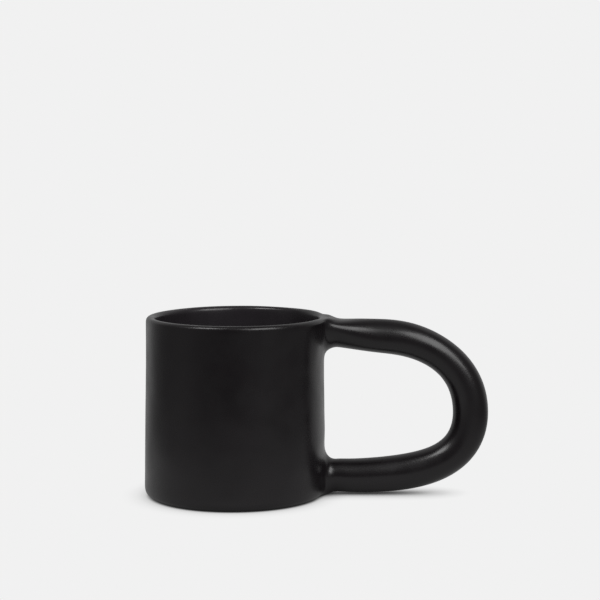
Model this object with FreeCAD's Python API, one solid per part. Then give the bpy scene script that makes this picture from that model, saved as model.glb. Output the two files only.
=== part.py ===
# Ceramic mug: a nearly straight cup with one thick round loop handle.
#
# Millimetres, +Z up. The origin is on the cup's axis, in the plane it stands on.
# The handle points along +X and lies in the XZ plane.
#
# The mug is modelled the way a potter builds it. A floor with a foot ring carries the wall,
# a coil of clay is pressed into the inside corner, and the handle's thinned ends are stuck on
# two scored seats in the wall, each with a collar of soft clay worked in round it. The rim is
# drawn out a little toward the handle, so that it runs on into the handle's top.
# The outside is first shaped as one form, so that every blend runs on without a step over the
# joints, and is then parted along those joints into the pieces.
import FreeCAD, Part

import math
import os

V = FreeCAD.Vector

# ---- Cup ------------------------------------------------------------------------------------
cup_height = 86.6
rim_radius = 42.2            # outside, at the lip
base_radius = 43.8           # outside, at the table
rim_draw = 2.8               # the rim is drawn out this far toward the handle
draw_height = 32.0           # the wall bends outward over this height below the lip
wall_thickness = 4.3
lip_flat = 0.1               # left between the two roundings of the lip
floor_thickness = 6.0        # table to the inside of the cup
base_edge_radius = 4.0
foot_ring_width = 6.0        # the ring that the mug stands on
foot_recess = 1.5            # hollow inside that ring
recess_slope = 1.0           # how far the hollow's side leans in
seam_coil_radius = 7.0       # coil pressed into the inside corner
seam_coil_edge = 0.3         # its thickness where it ends on the wall and on the floor

# ---- Handle ---------------------------------------------------------------------------------
handle_thickness = 16.7      # mean diameter of the coil
handle_reach = 70.3          # cup wall to the outermost point of the coil's centre line
handle_top_drop = 1.3        # lip down to the top of the coil, at the wall
handle_table_gap = 1.2       # table up to the underside of the coil, at the wall
upper_blend_radius = 6.0
lower_blend_radius = 4.8

# The centre line's control points, from the upper end to the lower one: out from the wall as a
# share of the reach, up as a share of the distance between the two ends, and the thickness
# there as a share of the mean. The coil is thinnest where it leaves the rim, as a pulled one is.
loop = [
    (0.000, 1.000, 0.684),
    (0.242, 0.957, 0.955),
    (0.535, 0.975, 1.032),
    (0.889, 0.800, 0.934),
    (1.036, 0.497, 1.050),
    (0.956, 0.078, 0.967),
    (0.468, -0.019, 1.070),
    (0.000, 0.000, 0.927),
]

# ---- Joints between handle and cup ------------------------------------------------------------
seat_depth = 0.8             # scored seat in the wall
seat_margin = 1.0            # seat beyond the end of the blend
shoulder_depth = 0.8         # the coil's ends are this much thinner than the coil, all round
collar_land = 1.4            # collar beyond the end of the blend, along the coil

# ---- Construction ------------------------------------------------------------------------------
end_depth = 2.8              # the coil's centre line starts this far inside the wall
overrun = 20.0               # the outside form is made this much too tall, above and below
match = 0.01                 # edges this close to a height or a radius are taken to be there
handle_sections = 25
wall_sections = 12

whole = 4 * (base_radius + handle_reach)              # larger than the whole mug
lip_radius = (wall_thickness - lip_flat) / 2


def drawn(z):
    """How far the middle of the wall's ring lies toward the handle at a height.

    The ring grows by as much, so that the side away from the handle stays straight.
    """
    share = max(0, 1 + (z - cup_height) / draw_height)
    return rim_draw / 2 * share ** 2


def wall_radius(z):
    """Outside radius of the wall's ring at a height."""
    return base_radius + (rim_radius - base_radius) * z / cup_height + drawn(z)


def wall_reach(z):
    """How far the wall reaches toward the handle at a height."""
    return drawn(z) + wall_radius(z)


def inside_wall(depth, bottom, top):
    """A solid that follows the wall, this far inside its outer face.

    Its seam is on the side away from the handle.
    """
    rings = []
    for i in range(wall_sections):
        z = bottom + (top - bottom) * i / (wall_sections - 1)
        middle = V(drawn(z), 0, z)
        ring = Part.Wire([Part.Edge(Part.Circle(middle, V(0, 0, 1), wall_radius(z) - depth))])
        ring.rotate(middle, V(0, 0, 1), 180)
        rings.append(ring)
    return Part.makeLoft(rings, True, False)


def slab(bottom, top):
    """Everything between two heights."""
    return Part.makeBox(whole, whole, top - bottom, V(-whole / 2, -whole / 2, bottom))


def side_of_shoulder(sign):
    """Everything on the handle's side (+1) or on the cup's side (-1) of the shoulders."""
    start = shoulder_x if sign > 0 else shoulder_x - whole
    return Part.makeBox(whole, whole, whole, V(start, -whole / 2, -whole / 2))


def largest_solid(shape):
    return max(shape.Solids, key=lambda solid: solid.Volume)


# ---- Handle coil ---------------------------------------------------------------------------------
upper_end_radius = loop[0][2] * handle_thickness / 2
lower_end_radius = loop[-1][2] * handle_thickness / 2
upper_end_z = cup_height - handle_top_drop - upper_end_radius
lower_end_z = handle_table_gap + lower_end_radius
shoulder_x = base_radius + max(upper_blend_radius, lower_blend_radius) + collar_land


def clamped_cubic(points):
    """A cubic B-spline that starts at the first control point and ends at the last."""
    degree = 3
    spans = len(points) - degree
    knots = [i / spans for i in range(spans + 1)]
    repeats = [degree + 1] + [1] * (spans - 1) + [degree + 1]
    curve = Part.BSplineCurve()
    curve.buildFromPolesMultsKnots(points, repeats, knots, False, degree)
    return curve


def centre_line():
    middle = wall_radius(cup_height / 2)
    rise = upper_end_z - lower_end_z
    points = [V(middle + out * handle_reach, 0, lower_end_z + up * rise) for out, up, share in loop]
    points[0].x = wall_reach(upper_end_z) - end_depth
    points[-1].x = wall_reach(lower_end_z) - end_depth
    return clamped_cubic(points)


def coil(thinned_by):
    """The handle's coil from wall to wall, its radius less the given amount."""
    line = centre_line()
    thickness = clamped_cubic([V(share * handle_thickness / 2, 0, 0) for out, up, share in loop])
    rings = []
    for i in range(handle_sections):
        t = i / (handle_sections - 1)
        along = V(*line.tangent(t)[0])
        radius = thickness.value(t).x - thinned_by
        rings.append(Part.Wire([Part.Edge(Part.Circle(line.value(t), along, radius))]))
    return Part.makeLoft(rings, True, False)


# ---- The outside as one form -----------------------------------------------------------------------
def root_edges(shape, z):
    """The edges where the coil at this height meets the wall.

    They run across the handle. Seams don't, and the edges of the cup go all the way round it.
    """
    narrowest = handle_thickness / 6
    widest = 2 * handle_thickness
    deepest = handle_thickness / 2
    found = []
    for edge in shape.Edges:
        box = edge.BoundBox
        at_height = abs(box.Center.z - z) < handle_thickness
        on_wall = box.XMin > base_radius / 2 and box.XLength < deepest
        if at_height and on_wall and narrowest < box.YLength < widest:
            found.append(edge)
    return found


def level_edges(shape, z):
    """The edges that lie flat at this height."""
    return [edge for edge in shape.Edges
            if abs(edge.BoundBox.ZMin - z) < match and abs(edge.BoundBox.ZMax - z) < match]


def outside_form():
    """Cup and coil as one solid block, blended, with the lip and the base edge rounded."""
    block = inside_wall(0, -overrun, cup_height + overrun)
    form = block.fuse(coil(0))
    form = form.makeFillet(upper_blend_radius, root_edges(form, upper_end_z))
    form = form.makeFillet(lower_blend_radius, root_edges(form, lower_end_z))
    form = largest_solid(form.common(slab(0, cup_height)))
    form = form.makeFillet(lip_radius, level_edges(form, cup_height))
    return form.makeFillet(base_edge_radius, level_edges(form, 0))


# ---- Parting along the joints ------------------------------------------------------------------------
def seat_reach(z, radius):
    """A round bar along X that is as wide as the seat at this height.

    Its seam line is turned to the side, away from the coil's seams, which lie in the XZ plane.
    """
    start = V(wall_radius(z) / 2, 0, z)
    bar = Part.makeCylinder(radius, whole, start, V(1, 0, 0))
    bar.rotate(start, V(1, 0, 0), 90)
    return bar


form = outside_form()
seat_form = inside_wall(seat_depth, -overrun, cup_height + overrun)
upper_seat_radius = upper_end_radius + upper_blend_radius + seat_margin
lower_seat_radius = lower_end_radius + lower_blend_radius + seat_margin
upper_seat = seat_reach(upper_end_z, upper_seat_radius).cut(seat_form)
lower_seat = seat_reach(lower_end_z, lower_seat_radius).cut(seat_form)
cup_blank = largest_solid(form.cut(upper_seat).cut(lower_seat))


def cup_wall():
    """The side wall, with its rounded lip; it stands on the floor."""
    shell = cup_blank.common(slab(floor_thickness, cup_height))
    shell = shell.cut(inside_wall(wall_thickness, 0, cup_height + overrun))
    rings = [edge for edge in level_edges(shell, cup_height) if edge.isClosed()]
    inner_edge = min(rings, key=lambda ring: ring.Length)
    return shell.makeFillet(lip_radius, [inner_edge])


def cup_floor():
    """The disc that closes the cup, with the ring it stands on."""
    ring_inside = base_radius - base_edge_radius - foot_ring_width
    hollow = Part.makeCone(ring_inside, ring_inside - recess_slope, foot_recess)
    return cup_blank.common(slab(0, floor_thickness)).cut(hollow)


def floor_seam_coil():
    """The coil pressed into the corner between wall and floor."""
    low = floor_thickness
    high = floor_thickness + seam_coil_radius
    wall_low = wall_radius(low) - wall_thickness
    wall_high = wall_radius(high) - wall_thickness
    inner = wall_low - seam_coil_radius
    arc_start = V(inner, 0, low + seam_coil_edge)
    arc_end = V(wall_high - seam_coil_edge, 0, high)
    bulge = seam_coil_radius * math.sqrt(0.5)      # half way round a quarter circle
    arc_middle = V(inner + bulge, 0, high - bulge)
    outline = [
        Part.LineSegment(V(wall_low, 0, low), V(inner, 0, low)).toShape(),
        Part.LineSegment(V(inner, 0, low), arc_start).toShape(),
        Part.Arc(arc_start, arc_middle, arc_end).toShape(),
        Part.LineSegment(arc_end, V(wall_high, 0, high)).toShape(),
        Part.LineSegment(V(wall_high, 0, high), V(wall_low, 0, low)).toShape(),
    ]
    return Part.Face(Part.Wire(outline)).revolve(V(0, 0, 0), V(0, 0, 1), 360)


def handle():
    """The coil, with a thinned end inside each collar that sits on the seat in the wall."""
    loop_part = coil(0).common(side_of_shoulder(+1))
    ends = coil(shoulder_depth).common(side_of_shoulder(-1)).cut(seat_form)
    return loop_part.fuse(ends)


def collar(z, radius):
    """The clay worked in round one end of the handle."""
    outside = form.common(seat_reach(z, radius)).common(side_of_shoulder(-1))
    return outside.cut(seat_form).cut(coil(shoulder_depth))


parts = {
    "cup_wall": cup_wall(),
    "cup_floor": cup_floor(),
    "floor_seam_coil": floor_seam_coil(),
    "handle": handle(),
    "upper_handle_collar": collar(upper_end_z, upper_seat_radius),
    "lower_handle_collar": collar(lower_end_z, lower_seat_radius),
}

os.makedirs("parts", exist_ok=True)
for name, shape in parts.items():
    print(name, "solids", len(shape.Solids), "valid", shape.isValid(), "mm3", round(shape.Volume, 1))
    largest_solid(shape).exportStep(f"parts/{name}.step")
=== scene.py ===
# %% [markdown]
# # A black glazed mug with a thick loop handle
#
# The real mug is one lump of fired clay under one coat of satin black glaze. Its pieces are solid
# bodies in the frame that this lesson loads: a wall, a floor, a handle and the clay worked in round
# the joints. The eye sees none of those joints, only one skin that flows from the cup into the
# handle. So the lesson models that skin: a coarse cage of four-sided faces that a Subdivision
# Surface turns into a smooth form, measured against the solid pieces all the way.

# %% Load the solid pieces
import math

import bpy
from mathutils import Matrix, Vector, noise
from mathutils.bvhtree import BVHTree


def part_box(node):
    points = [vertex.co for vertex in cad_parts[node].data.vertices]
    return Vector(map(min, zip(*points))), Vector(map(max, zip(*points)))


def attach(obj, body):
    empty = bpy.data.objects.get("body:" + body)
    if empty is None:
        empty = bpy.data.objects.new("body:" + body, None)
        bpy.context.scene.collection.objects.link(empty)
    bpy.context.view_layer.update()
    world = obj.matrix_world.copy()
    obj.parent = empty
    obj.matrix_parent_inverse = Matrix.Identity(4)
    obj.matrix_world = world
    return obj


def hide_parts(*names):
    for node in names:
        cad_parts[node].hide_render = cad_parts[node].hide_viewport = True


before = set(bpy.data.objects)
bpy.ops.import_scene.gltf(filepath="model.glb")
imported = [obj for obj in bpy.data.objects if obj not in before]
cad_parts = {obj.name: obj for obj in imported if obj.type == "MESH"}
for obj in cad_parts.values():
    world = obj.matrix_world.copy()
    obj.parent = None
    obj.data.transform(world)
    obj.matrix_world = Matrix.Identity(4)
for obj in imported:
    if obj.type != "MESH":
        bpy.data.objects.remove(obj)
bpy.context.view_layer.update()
MM = 0.001
print("solid pieces:", sorted(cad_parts))

# %% [markdown]
# ## Callipers
#
# A modeller needs the sizes of what has to be covered. Reading them off the solid pieces is safer
# than typing them in again, because then the skin follows any change to the solids. The callipers
# here are a ray: it starts at a point, runs in a direction, and stops at the first surface that it
# meets. All the solid pieces are put in one search tree, which makes such a ray very quick.

# %% Callipers: where a ray first meets the clay
def search_tree(objects):
    corners, faces = [], []
    for item in objects:
        start = len(corners)
        corners += [vertex.co.copy() for vertex in item.data.vertices]
        faces += [[start + corner for corner in face.vertices] for face in item.data.polygons]
    return BVHTree.FromPolygons(corners, faces)


clay = search_tree(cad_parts.values())
FAR = 1.0


def ring_through(left, side):
    """Middle and radius of the level ring through a point at -X and two points at the sides."""
    radius = (side ** 2 + left ** 2) / (2 * left)
    return radius - left, radius


def outer_ring(height):
    """Middle and radius of the outside at a height."""
    left = clay.ray_cast(Vector((-FAR, 0, height)), Vector((1, 0, 0)))[0]
    side = clay.ray_cast(Vector((0, FAR, height)), Vector((0, -1, 0)))[0]
    return ring_through(-left.x, side.y)


def inner_ring(height):
    """Middle and radius of the inside at a height."""
    left = clay.ray_cast(Vector((0, 0, height)), Vector((-1, 0, 0)))[0]
    side = clay.ray_cast(Vector((0, 0, height)), Vector((0, 1, 0)))[0]
    return ring_through(-left.x, side.y)


cup_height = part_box("cup_wall")[1].z
floor_top = clay.ray_cast(Vector((0, 0, FAR)), Vector((0, 0, -1)))[0].z
recess = clay.ray_cast(Vector((0, 0, -FAR)), Vector((0, 0, 1)))[0].z
wall = outer_ring(cup_height / 2)[1] - inner_ring(cup_height / 2)[1]
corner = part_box("floor_seam_coil")[1].z - floor_top
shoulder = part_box("upper_handle_collar")[1].x
print("cup height", round(cup_height / MM, 2), "wall", round(wall / MM, 2))
print("floor", round(floor_top / MM, 2), "recess", round(recess / MM, 2))
print("corner", round(corner / MM, 2), "shoulder", round(shoulder / MM, 2))

# %% [markdown]
# ## The cup's cage
#
# A thrown or built cup is round, so its cage is a stack of rings, each with the same number of
# corners. The first ring is drawn as a circle, and each next ring is the last one extruded, moved
# and scaled. One run of rings goes from under the floor, out over the foot, up the wall, over the
# lip, down the inside and in over the floor, so the skin has no seam at the lip. Rings lie close
# together where the form turns tightly, as at the lip and the foot, and far apart on the plain
# wall. The rim is drawn out toward the handle, so the upper rings have their middle a little off
# the axis.

# %% The list of rings, from under the floor to inside it
SEGMENTS = 48
UNDER_FLOOR = (12, 24)                                  # radii, in mm
FOOT_SIDE = (-2.5, -1.2, -0.5, 0, 1.2)                  # out from the foot ring's inner edge
FOOT_FLAT_END = 1.5 * MM                                # in from its outer edge
OUTSIDE = (9, 15, 21.5, 29, 38, 47, 56, 62.5, 67.5, 74, 80.5)       # heights, in mm
INSIDE = (81, 75, 66, 56, 46, 36, 27, 20, 15.5)
INSIDE_FLOOR = (4, 12)                                  # in from the corner's end, in mm
LAST_RADIUS = 9 * MM
FOOT_WIDTH = 6 * MM
ARC_STEP = 30                                           # degrees between the rings of a rounding
lip = wall / 2
edge = 4 * MM
foot_outer = outer_ring(floor_top)[1] - edge
foot_inner = foot_outer - FOOT_WIDTH


def on_axis(radius, height):
    """A ring about the cup's own axis, as (middle, radius, height)."""
    return (0, radius, height)


def arc(middle, radius, height, size, angles):
    """Rings on a rounding: where its centre runs, its radius, and the rings' angles in degrees."""
    turns = [math.radians(angle) for angle in angles]
    return [(middle, radius + size * math.cos(t), height + size * math.sin(t)) for t in turns]


def wall_rings(measure, heights):
    """Rings that follow the wall, measured at these heights in mm."""
    return [(*measure(height * MM), height * MM) for height in heights]


lip_height = cup_height - lip
lip_middle, lip_outside = outer_ring(lip_height)
corner_radius = inner_ring(floor_top + corner)[1] - corner
foot_heights = (recess, recess, recess / 2, 0, 0)
rings = [on_axis(radius * MM, recess) for radius in UNDER_FLOOR]
rings += [on_axis(foot_inner + out * MM, height) for out, height in zip(FOOT_SIDE, foot_heights)]
rings += [on_axis(foot_outer - FOOT_FLAT_END, 0)]
rings += arc(0, foot_outer, edge, edge, range(-90, 1, ARC_STEP))
rings += wall_rings(outer_ring, OUTSIDE)
rings += arc(lip_middle, lip_outside - lip, lip_height, lip, range(0, 181, ARC_STEP))
rings += wall_rings(inner_ring, INSIDE)
rings += arc(0, corner_radius, floor_top + corner, corner, range(0, -91, -ARC_STEP))
rings += [on_axis(corner_radius - inward * MM, floor_top) for inward in INSIDE_FLOOR]
rings += [on_axis(LAST_RADIUS, floor_top)]
print("rings:", len(rings), "rim's middle is", round(lip_middle / MM, 2), "mm off the axis")

# %% [markdown]
# ## From rings to one skin
#
# A potter pulls the wall up out of the floor, and the cage grows the same way. Extrude copies the
# open edge and keeps it joined to the ring below, a move brings it to its height, and a resize
# about its own middle gives it its width. The two small faces that close the ends lie under the
# floor and on top of it. Last, all the faces are turned outward, which the shading relies on.

# %% Extrude the rings
def clear_selection():
    if bpy.context.mode != "OBJECT":
        bpy.ops.object.mode_set(mode="OBJECT")
    bpy.ops.object.select_all(action="DESELECT")


def make_active(item):
    clear_selection()
    item.select_set(True)
    bpy.context.view_layer.objects.active = item


clear_selection()
middle, radius, height = rings[0]
bpy.ops.mesh.primitive_circle_add(vertices=SEGMENTS, radius=radius, location=(middle, 0, height))
skin = bpy.context.object
skin.name = "glazed_skin"
bpy.ops.object.transform_apply(location=True, rotation=True, scale=True)
bpy.ops.object.mode_set(mode="EDIT")
bpy.ops.mesh.select_all(action="SELECT")
bpy.ops.mesh.edge_face_add()
bpy.ops.mesh.select_mode(type="EDGE")
bpy.ops.mesh.region_to_loop()
for next_middle, next_radius, next_height in rings[1:]:
    step = (next_middle - middle, 0, next_height - height)
    bpy.ops.mesh.extrude_edges_move(TRANSFORM_OT_translate={"value": step})
    size = next_radius / radius
    bpy.ops.transform.resize(value=(size, size, 1), center_override=(next_middle, 0, next_height))
    middle, radius, height = next_middle, next_radius, next_height
bpy.ops.mesh.edge_face_add()
bpy.ops.mesh.select_all(action="SELECT")
bpy.ops.mesh.normals_make_consistent(inside=False)
bpy.ops.object.mode_set(mode="OBJECT")
print("cage faces:", len(skin.data.polygons))

# %% [markdown]
# ## The handle's coil
#
# The handle is a rope of clay, rolled by hand and bent to a loop, so it is a tube along a curve. A
# NURBS path is the easy way to draw it: a few control points pull the curve about like a bent wire,
# and every point carries its own thickness. The bevel makes the tube, sixteen corners round, and
# the curve is then turned into a mesh. The part inside the wall and inside the blends is cut away.

# %% Draw the coil and turn it into a mesh
coil_points = [
    # x, z and radius in mm, from the rim round to the foot
    (39.4, 79.4, 5.61),
    (59.9, 76.4, 7.83),
    (80.5, 77.7, 8.46),
    (105.5, 65.3, 7.66),
    (115.8, 43.9, 8.61),
    (110.2, 14.3, 7.93),
    (75.8, 7.5, 8.77),
    (40.6, 8.8, 7.60),
]
COIL_CORNERS = 16
STEPS_PER_POINT = 4
WELD = 0.01 * MM
clear_selection()
bpy.ops.curve.primitive_nurbs_path_add()
route = bpy.context.object
line = route.data.splines[0]
line.points.add(len(coil_points) - len(line.points))
for point, (x, z, thickness) in zip(line.points, coil_points):
    point.co = (x * MM, 0, z * MM, 1)
    point.radius = thickness
line.order_u = 4
line.use_endpoint_u = True
line.resolution_u = STEPS_PER_POINT
route.data.twist_mode = "MINIMUM"
route.data.bevel_depth = MM
route.data.bevel_resolution = COIL_CORNERS // 2 - 2
route.data.use_fill_caps = False
bpy.ops.object.convert(target="MESH")
coil = bpy.context.object
coil.name = "coil"
bpy.ops.object.mode_set(mode="EDIT")
bpy.ops.mesh.select_all(action="SELECT")
bpy.ops.mesh.remove_doubles(threshold=WELD)
bpy.ops.mesh.bisect(plane_co=(shoulder, 0, 0), plane_no=(1, 0, 0), clear_inner=True)
bpy.ops.object.mode_set(mode="OBJECT")
print("coil corners", len(coil.data.vertices), "faces", len(coil.data.polygons))

# %% [markdown]
# ## Opening the wall for the handle
#
# To make the handle grow out of the cup, the cage needs a hole where each end of the coil arrives.
# Four by four faces are taken out at each root. That leaves a square hole with sixteen corners, as
# many as the coil has, so the two can be joined corner to corner. The square is then rounded to the
# size of the clay collar under it, so that the blend spreads evenly to all sides.

# %% Cut two holes
HOLE_FACES = COIL_CORNERS // 4                          # along each side of a hole
HOLE_ANGLE = math.radians(HOLE_FACES / 2 * 360 / SEGMENTS)
upper_root = coil_points[0][1] * MM
lower_root = coil_points[-1][1] * MM
upper_rows = (OUTSIDE[-3] * MM, lip_height + lip / 2)   # lowest and highest row of the hole
lower_rows = (edge / 2, OUTSIDE[2] * MM)
between_faces = foot_outer + edge / 2


def from_axis(place):
    return math.hypot(place.x, place.y)


def from_handle(place):
    return abs(math.atan2(place.y, place.x))


def pick(kind, wanted):
    """Go to Edit Mode with just those corners, edges or faces selected that are wanted."""
    make_active(skin)
    bpy.ops.object.mode_set(mode="EDIT")
    bpy.ops.mesh.select_mode(type=kind)
    bpy.ops.mesh.select_all(action="DESELECT")
    bpy.ops.object.mode_set(mode="OBJECT")
    mesh = skin.data
    for item in {"VERT": mesh.vertices, "EDGE": mesh.edges, "FACE": mesh.polygons}[kind]:
        item.select = wanted(item)
    bpy.ops.object.mode_set(mode="EDIT")


for lowest_row, highest_row in (upper_rows, lower_rows):
    def in_hole(face):
        place = face.center
        outside = from_axis(place) > between_faces
        return (outside and from_handle(place) < HOLE_ANGLE
                and lowest_row < place.z < highest_row)

    pick("FACE", in_hole)
    bpy.ops.mesh.delete(type="FACE")
    bpy.ops.object.mode_set(mode="OBJECT")


def open_edges():
    """The edges that have a face on one side only, as pairs of corners."""
    faces_at = {}
    for face in skin.data.polygons:
        for key in face.edge_keys:
            faces_at[key] = faces_at.get(key, 0) + 1
    return {key for key, count in faces_at.items() if count == 1}


def near_root(place, root):
    return abs(place.z - root) < upper_root / 3


print("open edges:", len(open_edges()))

# %% [markdown]
# ## Round holes
#
# A coil of clay is round, and its collar is round too, so a square hole would leave four lumps in
# the blend. Each corner of the hole is moved out or in until it lies on one circle, and stays on
# the wall. One row of corners is shared with the lip, and one with the foot. Those rows keep their
# height, so that the lip and the foot stay straight past the handle.

# %% Round the holes
SEAT_MARGIN = 1 * MM                                    # the collar ends this far past its blend
SAME_HEIGHT = 0.1 * MM


def round_hole(root, size, kept_row):
    """Move a hole's corners onto a circle, but keep one row of them at its height."""
    for index in {index for key in open_edges() for index in key}:
        place = skin.data.vertices[index].co
        if not near_root(place, root):
            continue
        radius = from_axis(place)
        rise = place.z - root
        if abs(place.z - kept_row) < SAME_HEIGHT:
            half_width = math.sqrt(size ** 2 - rise ** 2)
            y = place.y * half_width / (radius * math.sin(HOLE_ANGLE))
        else:
            grow = size / math.hypot(place.y, rise)
            y, rise = place.y * grow, rise * grow
        place.xyz = (math.sqrt(radius ** 2 - y ** 2), y, root + rise)


upper_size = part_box("upper_handle_collar")[1].y - SEAT_MARGIN
lower_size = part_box("lower_handle_collar")[1].y - SEAT_MARGIN
round_hole(upper_root, upper_size, upper_rows[1])
round_hole(lower_root, lower_size, lower_rows[0])
print("holes are", round(2 * upper_size / MM, 1), "and", round(2 * lower_size / MM, 1), "mm across")

# %% [markdown]
# ## Bridging
#
# The potter scores both surfaces, adds slip and works soft clay over the joint. In the cage a
# bridge does that work: it spans the gap between the hole and the end of the coil with faces. Both
# loops have sixteen corners, so the bridge has no triangles and no twist, and two cuts on a curved
# path let it leave the wall and reach the coil without a crease.

# %% Join the coil to the cup
BRIDGE_CUTS = 2
BRIDGE_BULGE = 0.6
clear_selection()
coil.select_set(True)
skin.select_set(True)
bpy.context.view_layer.objects.active = skin
bpy.ops.object.join()
for root in (upper_root, lower_root):
    ring_edges = open_edges()

    def at_root(edge_line):
        ends = [skin.data.vertices[index].co for index in edge_line.vertices]
        return edge_line.key in ring_edges and all(near_root(end, root) for end in ends)

    pick("EDGE", at_root)
    bpy.ops.mesh.bridge_edge_loops(
        number_cuts=BRIDGE_CUTS, interpolation="PATH", smoothness=BRIDGE_BULGE)
    bpy.ops.object.mode_set(mode="OBJECT")
pick("FACE", lambda face: True)
bpy.ops.mesh.normals_make_consistent(inside=False)
bpy.ops.object.mode_set(mode="OBJECT")
print("open edges left:", len(open_edges()), "cage faces:", len(skin.data.polygons))

# %% [markdown]
# ## Settling the skin on the clay
#
# A Subdivision Surface rounds off every corner, so the smooth skin lies inside its cage and a
# little off the clay. The cure is to measure and push: find where each corner ends up on the smooth
# skin, shoot a ray at the clay from there, and move the corner of the cage by the error. After a
# few rounds the smooth skin passes through the clay's surface at every corner, and it stays smooth
# between them.

# %% Measure and push
subdivision = skin.modifiers.new("smooth skin", "SUBSURF")
SMOOTHING = 2
subdivision.levels = SMOOTHING
subdivision.render_levels = SMOOTHING
subdivision.use_limit_surface = True
REACH = 3 * MM
ROUNDS = 8


def settle():
    """Move the cage so that the smooth skin meets the clay, and return the largest error."""
    smooth = skin.evaluated_get(bpy.context.evaluated_depsgraph_get()).to_mesh()
    worst = 0
    for index, cage_corner in enumerate(skin.data.vertices):
        place = smooth.vertices[index].co
        outward = smooth.vertices[index].normal
        hit = clay.ray_cast(place + REACH * outward, -outward, 2 * REACH)[0]
        if hit is not None:
            cage_corner.co += hit - place
            worst = max(worst, (hit - place).length)
    skin.data.update()
    return worst


for turn in range(ROUNDS):
    print("round", turn + 1, "largest error in mm:", round(settle() / MM, 4))

# %% [markdown]
# ## The flattened upper end
#
# Where a potter presses the coil against the thin rim, it spreads sideways: seen from above, the
# handle's upper end is wide, and it narrows over the first two centimetres. Its top is flat there,
# and the outer edge of the lip droops into it. The solid coil is plainly round, so these forms are
# given to the skin with a table of widths and with steps that start and end softly.

# %% Spread the upper end
SPREAD = [
    # x, how far each side is drawn out there, how far the end is lower there; all in mm
    (41.3, 0.0, 0.0), (42.6, 2.4, 0.2), (44, 3.0, 0.5), (45, 3.2, 0.6), (46, 3.3, 0.6),
    (47, 3.3, 0.6), (48, 3.1, 0.6), (50, 2.5, 0.5), (54, 1.5, 0.05), (58, 0.7, 0.0),
    (62, 0.05, 0.0), (66, -0.35, 0.0), (70, -0.5, 0.0), (76, -0.35, 0.0), (84, -0.1, 0.0),
    (90, 0.0, 0.0),
]
HALF_WIDTH = 7 * MM
TOP_HEAVY = 0.8                             # the top spreads this much more than the middle
LIFT, LIFT_CURVE = 0.8, 1.4                 # the sides rise by this share of their spread
DROOP = 1.5 * MM                            # the lip's outer edge comes down by this much


def spread(x):
    """The spread and the drop at an x, read off between two rows of SPREAD."""
    for (start, *low), (end, *high) in zip(SPREAD, SPREAD[1:]):
        if start * MM <= x < end * MM:
            part = (x / MM - start) / (end - start)
            return [(first + (second - first) * part) * MM for first, second in zip(low, high)]
    return 0, 0


def soft_step(value, start, end):
    """0 before the start, 1 after the end, and a smooth rise in between."""
    part = max(0, min(1, (value - start) / (end - start)))
    return part * part * (3 - 2 * part)


# Where the soft steps start and end. UP is a height above the middle of the coil's end, as a share
# of its size; OUT is an x; PAST is a distance past the outside of the lip, in lip roundings.
DROOP_UP, DROOP_OUT, DROOP_END = (0.2, 0.9), (39.5 * MM, 44 * MM), (46 * MM, 49.5 * MM)
SPREAD_UP, LIP_UP, LIP_PAST = (-1.4, -0.8), (0.1, 0.7), (-0.5, 1.5)
lip_past = [lip_outside + share * lip for share in LIP_PAST]
for corner_point in skin.data.vertices:
    place = corner_point.co
    above = (place.z - upper_root) / upper_size
    droop = soft_step(above, *DROOP_UP) * soft_step(place.x, *DROOP_OUT)
    droop *= 1 - soft_step(place.x, *DROOP_END)
    near = soft_step(above, *SPREAD_UP)
    near *= max(soft_step(from_axis(place), *lip_past), 1 - soft_step(above, *LIP_UP))
    wider, lower = spread(place.x)
    side = max(-1, min(1, place.y / HALF_WIDTH))
    aside = near * wider * (1 + TOP_HEAVY * above) * side * (3 - side ** 2) / 2
    place.rotate(Matrix.Rotation(aside / max(from_axis(place), MM), 3, "Z"))
    place.z += near * (LIFT * wider * abs(side) ** LIFT_CURVE - lower) - DROOP * droop
skin.data.update()

# %% [markdown]
# ## The touch of the hand
#
# Nothing shaped by hand is as true as a lathe's work. A slow noise, about a tenth of a millimetre
# high and low, makes the reflections wander as they do on real pottery. Afterwards every corner is
# held inside the box of the solid mug, so the mug doesn't grow and still stands flat on the table.

# %% Press the skin in and out a little
DENT = 0.25 * MM
DENT_SIZE = 38 * MM
outward = [vertex.normal.copy() for vertex in skin.data.vertices]
for vertex, direction in zip(skin.data.vertices, outward):
    vertex.co += DENT * noise.noise(vertex.co / DENT_SIZE) * direction
make_active(skin)
bpy.ops.object.modifier_apply(modifier=subdivision.name)
bpy.ops.object.shade_smooth()
boxes = [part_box(name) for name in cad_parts]
lowest = [min(low[axis] for low, high in boxes) for axis in range(3)]
highest = [max(high[axis] for low, high in boxes) for axis in range(3)]
for vertex in skin.data.vertices:
    limits = zip(vertex.co, lowest, highest)
    vertex.co = [min(max(value, low), high) for value, low, high in limits]
print("triangles in the skin:", sum(len(face.vertices) - 2 for face in skin.data.polygons))
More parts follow.
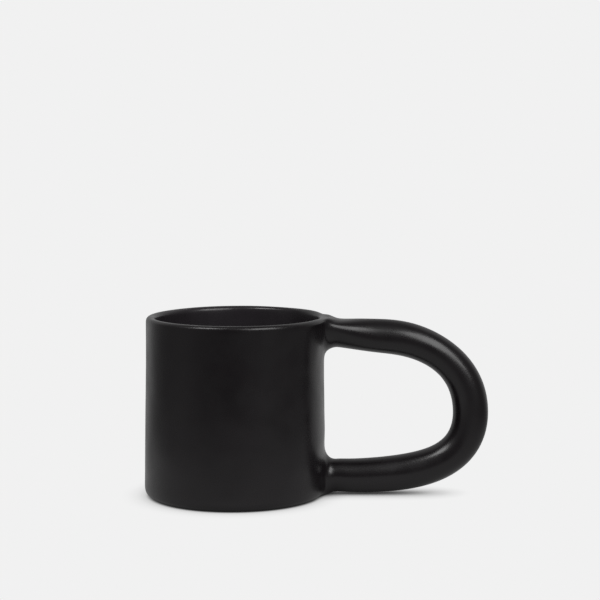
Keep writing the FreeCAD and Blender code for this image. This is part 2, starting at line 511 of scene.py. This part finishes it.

# %% [markdown]
# ## Satin black glaze
#
# The glaze is nearly black, so almost all that the eye sees is what it mirrors. Three faint things
# make it look like glaze and not like plastic: the gloss changes a little from place to place, the
# surface has the slow waves of a melted coat, and it has very fine pits where gas left the clay.
# Inside the cup the colour is painted paler: painted light, a brighter copy of the glaze that
# stands in for the light that reaches the inside. The ring that the mug stands on is wiped free of
# glaze before firing, or the mug would stick to the kiln's shelf, so it shows bare clay.

# %% Glaze
GLAZE_IOR = 1.5
OUTSIDE_TONES = ((0.0061, 0.0046, 0.0056), (0.0079, 0.0060, 0.0074))
# The inside tones are painted light: a paler copy of the glaze for the light that reaches inside
# the cup.
INSIDE_PAINTED_LIGHT_TONES = ((0.0225, 0.0195, 0.0225), (0.0290, 0.0250, 0.0290))
PAINTED_LIGHT_EDGE = (39 * MM, 41 * MM)            # one goes over into the other this far from the axis
CLOUD_SIZE = 22 * MM
GLOSS_SIZE, GLOSS = 9 * MM, (0.22, 0.32)    # the roughness wanders between these two
SAG_SIZE, SAG_DEPTH = 30 * MM, 0.7 * MM
WAVE_SIZE, WAVE_DEPTH = 6 * MM, 0.02 * MM
PIT_SIZE, PIT_DEPTH = 1.1 * MM, 0.004 * MM
CLAY_TONES = ((0.16, 0.13, 0.11), (0.24, 0.20, 0.17))
CLAY_CLOUD_SIZE, CLAY_ROUGHNESS = 7 * MM, (0.75, 0.95)
GRAIN_SIZE, GRAIN_DEPTH = 0.6 * MM, 0.05 * MM


def new_material(name):
    """A new material with its tree and its shader."""
    material = bpy.data.materials.new(name)
    material.use_nodes = True
    tree = material.node_tree
    return material, tree, tree.nodes["Principled BSDF"]


def feed(tree, socket, value):
    """Link a socket to what comes out of another node, or set it to a plain value."""
    if isinstance(value, bpy.types.NodeSocket):
        tree.links.new(value, socket)
    else:
        socket.default_value = value


def noise_node(tree, place, size, detail):
    """A noise whose lumps are about this size, in metres."""
    texture = tree.nodes.new("ShaderNodeTexNoise")
    texture.inputs["Scale"].default_value = 1 / size
    texture.inputs["Detail"].default_value = detail
    tree.links.new(place, texture.inputs["Vector"])
    return texture.outputs["Fac"]


def map_range(tree, value, low, high, from_low=0.3, from_high=0.7):
    """Stretch a value; without the last two numbers it is a noise, which keeps near one half."""
    node = tree.nodes.new("ShaderNodeMapRange")
    node.inputs["From Min"].default_value = from_low
    node.inputs["From Max"].default_value = from_high
    node.inputs["To Min"].default_value = low
    node.inputs["To Max"].default_value = high
    tree.links.new(value, node.inputs["Value"])
    return node.outputs["Result"]


def mix_colour(tree, factor, first, second):
    """Mix two colours; each is three numbers or comes out of a node."""
    node = tree.nodes.new("ShaderNodeMix")
    node.data_type = "RGBA"
    tree.links.new(factor, node.inputs["Factor"])
    for name, colour in (("A", first), ("B", second)):
        feed(tree, node.inputs[name], (*colour, 1) if isinstance(colour, tuple) else colour)
    return node.outputs["Result"]


def bump(tree, height_value, depth, below=None):
    """A relief of this depth, in metres, on top of the one below it."""
    node = tree.nodes.new("ShaderNodeBump")
    node.inputs["Distance"].default_value = depth
    tree.links.new(height_value, node.inputs["Height"])
    if below is not None:
        tree.links.new(below, node.inputs["Normal"])
    return node.outputs["Normal"]


def object_place(tree):
    return tree.nodes.new("ShaderNodeTexCoord").outputs["Object"]


def black_glaze():
    material, tree, shader = new_material("satin_black_glaze")
    place = object_place(tree)
    cloud = map_range(tree, noise_node(tree, place, CLOUD_SIZE, 3), 0, 1)
    outside = mix_colour(tree, cloud, *OUTSIDE_TONES)
    # The inside colour is painted light, paler than the outside; it takes over near the axis.
    inside = mix_colour(tree, cloud, *INSIDE_PAINTED_LIGHT_TONES)
    axis_distance = tree.nodes.new("ShaderNodeVectorMath")
    axis_distance.operation = "LENGTH"
    flat = tree.nodes.new("ShaderNodeVectorMath")
    flat.operation = "MULTIPLY"
    flat.inputs[1].default_value = (1, 1, 0)
    tree.links.new(place, flat.inputs[0])
    tree.links.new(flat.outputs["Vector"], axis_distance.inputs[0])
    painted_light_share = map_range(tree, axis_distance.outputs["Value"], 1, 0, *PAINTED_LIGHT_EDGE)
    tree.links.new(mix_colour(tree, painted_light_share, outside, inside), shader.inputs["Base Color"])
    gloss = noise_node(tree, place, GLOSS_SIZE, 4)
    tree.links.new(map_range(tree, gloss, *GLOSS), shader.inputs["Roughness"])
    sag = bump(tree, noise_node(tree, place, SAG_SIZE, 1), SAG_DEPTH)
    waves = bump(tree, noise_node(tree, place, WAVE_SIZE, 1), WAVE_DEPTH, below=sag)
    pits = bump(tree, noise_node(tree, place, PIT_SIZE, 2), PIT_DEPTH, below=waves)
    tree.links.new(pits, shader.inputs["Normal"])
    shader.inputs["IOR"].default_value = GLAZE_IOR
    return material


def bare_clay():
    material, tree, shader = new_material("bare_clay")
    place = object_place(tree)
    cloud = noise_node(tree, place, CLAY_CLOUD_SIZE, 3)
    grain = noise_node(tree, place, GRAIN_SIZE, 4)
    tone = mix_colour(tree, map_range(tree, cloud, 0, 1), *CLAY_TONES)
    tree.links.new(tone, shader.inputs["Base Color"])
    tree.links.new(map_range(tree, grain, *CLAY_ROUGHNESS), shader.inputs["Roughness"])
    tree.links.new(bump(tree, grain, GRAIN_DEPTH), shader.inputs["Normal"])
    return material


skin.data.materials.append(black_glaze())
skin.data.materials.append(bare_clay())
RING_INSET = (0.8 * MM, 0.6 * MM)           # glaze comes this far onto the ring, inside and outside
ON_TABLE = 0.05 * MM
bare_from, bare_to = foot_inner + RING_INSET[0], foot_outer - RING_INSET[1]
for face in skin.data.polygons:
    on_ring = face.center.z < ON_TABLE and bare_from < from_axis(face.center) < bare_to
    face.material_index = 1 if on_ring else 0
print("bare faces under the foot:", sum(face.material_index for face in skin.data.polygons))

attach(skin, "root")
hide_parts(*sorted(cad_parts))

# %% [markdown]
# ## The room
#
# Black glaze is lit by what stands around it, so the room matters more than the lamps. A pale wall
# behind the mug draws the light lines along its sides, a dim room in front keeps its face dark, and
# a paler ceiling above the camera shows on the upper roundings. All of it is one world, painted by
# direction with colour ramps. The camera itself sees one even pale sheet instead, which is split
# off with the Light Path node.

# %% The room's light
PAPER = 0.88
ROOM = [
    # degrees from the camera's side toward the handle's side, brightness
    (-180, 0.42), (-150, 0.38), (-135, 0.45), (-118, 0.25), (-104, 0.15), (-85, 0.18), (-65, 0.24),
    (-45, 0.18), (-22, 0.09), (0, 0.09), (22, 0.18), (38, 0.24), (60, 0.19), (82, 0.13), (98, 0.16),
    (111, 0.28), (126, 0.46), (147, 0.50), (165, 0.44), (180, 0.42),
]
# The walls and the ceiling: the sine of the elevation, and the brightness there.
WALLS = [(0.80, 1), (0.90, 0.45)]
CEILING = [(0.30, 0), (0.66, 0.16), (0.83, 0.32), (0.92, 0.32), (1, 0.05)]
# The ceiling also changes with the direction, as the room does.
CEILING_SIDES = [(-110, 0), (-60, 1), (0, 1), (40, 0.7), (90, 0)]


def maths(tree, operation, first, second):
    node = tree.nodes.new("ShaderNodeMath")
    node.operation = operation
    for socket, value in zip(node.inputs, (first, second)):
        feed(tree, socket, value)
    return node.outputs[0]


def ramp(tree, value, stops):
    """A colour ramp in grey; each stop is a place from 0 to 1 and a brightness."""
    node = tree.nodes.new("ShaderNodeValToRGB")
    colours = node.color_ramp
    while len(colours.elements) < len(stops):
        colours.elements.new(1)
    for element, (place, light) in zip(colours.elements, stops):
        element.position = place
        element.color = (light, light, light, 1)
    tree.links.new(value, node.inputs["Fac"])
    return node.outputs["Color"]


def by_direction(tree, split, stops):
    """Brightness by compass direction; the direction's X and Y come out of a Separate XYZ."""
    toward_camera = maths(tree, "MULTIPLY", split.outputs["Y"], -1)
    turn = maths(tree, "ARCTAN2", split.outputs["X"], toward_camera)
    around = map_range(tree, turn, 0, 1, -math.pi, math.pi)
    return ramp(tree, around, [(0.5 + angle / 360, light) for angle, light in stops])


def seen_by_camera(tree, camera_value, other_value):
    """One value where the camera looks straight at it, and another in every reflection."""
    path = tree.nodes.new("ShaderNodeLightPath")
    node = tree.nodes.new("ShaderNodeMix")
    node.data_type = "FLOAT"
    tree.links.new(path.outputs["Is Camera Ray"], node.inputs["Factor"])
    feed(tree, node.inputs["A"], other_value)
    feed(tree, node.inputs["B"], camera_value)
    return node.outputs["Result"]


def split_xyz(tree, vector):
    node = tree.nodes.new("ShaderNodeSeparateXYZ")
    tree.links.new(vector, node.inputs[0])
    return node


def build_world():
    world = bpy.data.worlds.new("studio")
    bpy.context.scene.world = world
    world.use_nodes = True
    tree = world.node_tree
    split = split_xyz(tree, tree.nodes.new("ShaderNodeTexCoord").outputs["Generated"])
    height = split.outputs["Z"]
    walls = maths(tree, "MULTIPLY", by_direction(tree, split, ROOM), ramp(tree, height, WALLS))
    sides = by_direction(tree, split, CEILING_SIDES)
    ceiling = maths(tree, "MULTIPLY", sides, ramp(tree, height, CEILING))
    light = maths(tree, "ADD", walls, ceiling)
    background = tree.nodes["Background"]
    tree.links.new(seen_by_camera(tree, PAPER, light), background.inputs["Color"])


build_world()

# %% [markdown]
# ## The pale floor
#
# The mug stands on a plain sheet of paper. The camera sees the sheet at one even brightness, apart
# from the contact shadow, which Ambient Occlusion draws: it measures how much light the mug keeps
# from the floor. The glaze sees another floor, as bright as the room over it, and near the foot it
# glows up the wall. The sheet lies a hair below the foot, so that the two never share one plane.

# %% Floor
FLOOR_SIZE = 8
FLOOR_GAP = 0.02 * MM
SHADE_REACH = 12.5 * MM
SHADE_SAMPLES = 32
# Contact shadow: how open the floor is there, and the share of the light that is left.
SHADE = [(0, 0.01), (0.10, 0.05), (0.25, 0.28), (0.45, 0.66), (0.70, 0.90), (0.90, 0.98), (1, 1)]
GLOW_REACH = 0.45
# Glow: the distance from the mug's axis as a share of the reach, and the brightness there.
GLOW = [(0.27, 0.42), (0.50, 0.27), (0.75, 0.13), (1, 0.0)]


def floor_material():
    material, tree, shader = new_material("pale_floor")
    tree.nodes.remove(shader)
    occlusion = tree.nodes.new("ShaderNodeAmbientOcclusion")
    occlusion.inputs["Distance"].default_value = SHADE_REACH
    occlusion.samples = SHADE_SAMPLES
    shade = ramp(tree, occlusion.outputs["AO"], SHADE)
    place = object_place(tree)
    away = tree.nodes.new("ShaderNodeVectorMath")
    away.operation = "LENGTH"
    tree.links.new(place, away.inputs[0])
    glow = ramp(tree, map_range(tree, away.outputs["Value"], 0, 1, 0, GLOW_REACH), GLOW)
    mirrored = maths(tree, "MAXIMUM", by_direction(tree, split_xyz(tree, place), ROOM), glow)
    direct = maths(tree, "MULTIPLY", shade, PAPER)
    indirect = maths(tree, "MULTIPLY", shade, mirrored)
    emission = tree.nodes.new("ShaderNodeEmission")
    tree.links.new(seen_by_camera(tree, direct, indirect), emission.inputs["Color"])
    tree.links.new(emission.outputs[0], tree.nodes["Material Output"].inputs["Surface"])
    return material


clear_selection()
bpy.ops.mesh.primitive_plane_add(size=FLOOR_SIZE, location=(0, 0, -FLOOR_GAP))
bpy.ops.object.transform_apply(location=True, rotation=False, scale=False)
floor = bpy.context.object
floor.name = "floor"
floor.data.materials.append(floor_material())

# %% [markdown]
# ## Soft boxes
#
# Two large soft boxes stand in front of the mug, to the left and to the right and somewhat above
# it. Each draws one soft highlight on every rounding that turns toward it: the left one on the lip
# and on the inside of the handle's lower bend, the right one on the lip and along the handle's
# upper bend.

# %% Two lamps
BOX_DISTANCE = 1.3


def soft_box(name, azimuth, elevation, size, radiance):
    """A square soft box that faces the mug; azimuth 0 is the camera's side, 90 the handle's."""
    turn, climb = math.radians(azimuth), math.radians(elevation)
    along = math.cos(climb)
    direction = Vector((math.sin(turn) * along, -math.cos(turn) * along, math.sin(climb)))
    lamp = bpy.data.lights.new(name, "AREA")
    lamp.shape = "SQUARE"
    lamp.size = size
    lamp.energy = radiance * math.pi * size ** 2
    box = bpy.data.objects.new(name, lamp)
    bpy.context.scene.collection.objects.link(box)
    box.location = direction * BOX_DISTANCE
    box.rotation_mode = "QUATERNION"
    box.rotation_quaternion = direction.to_track_quat("Z", "Y")


soft_box("left_soft_box", -51, 54, 0.50, 5.5)
soft_box("right_soft_box", 38, 37, 0.76, 3.9)

# %% [markdown]
# ## The camera
#
# The mug is seen from just above its rim, from nearly a metre away and through a long lens, so the
# lip shows as a thin ellipse and the handle is seen square from the side. The Standard view keeps
# the greys as they are, which suits a picture of one black thing on plain paper.

# %% Camera
LENS = 111.88
CAMERA_PLACE = (31.44 * MM, -886.6 * MM, 193 * MM)
CAMERA_TILT, CAMERA_TURN = 83.63, -0.196
camera_data = bpy.data.cameras.new("camera")
camera_data.lens = LENS
camera_data.clip_start = 0.05
camera = bpy.data.objects.new("camera", camera_data)
bpy.context.scene.collection.objects.link(camera)
camera.location = CAMERA_PLACE
camera.rotation_mode = "ZYX"
camera.rotation_euler = (math.radians(CAMERA_TILT), 0, math.radians(CAMERA_TURN))
bpy.context.scene.camera = camera
bpy.context.scene.view_settings.view_transform = "Standard"
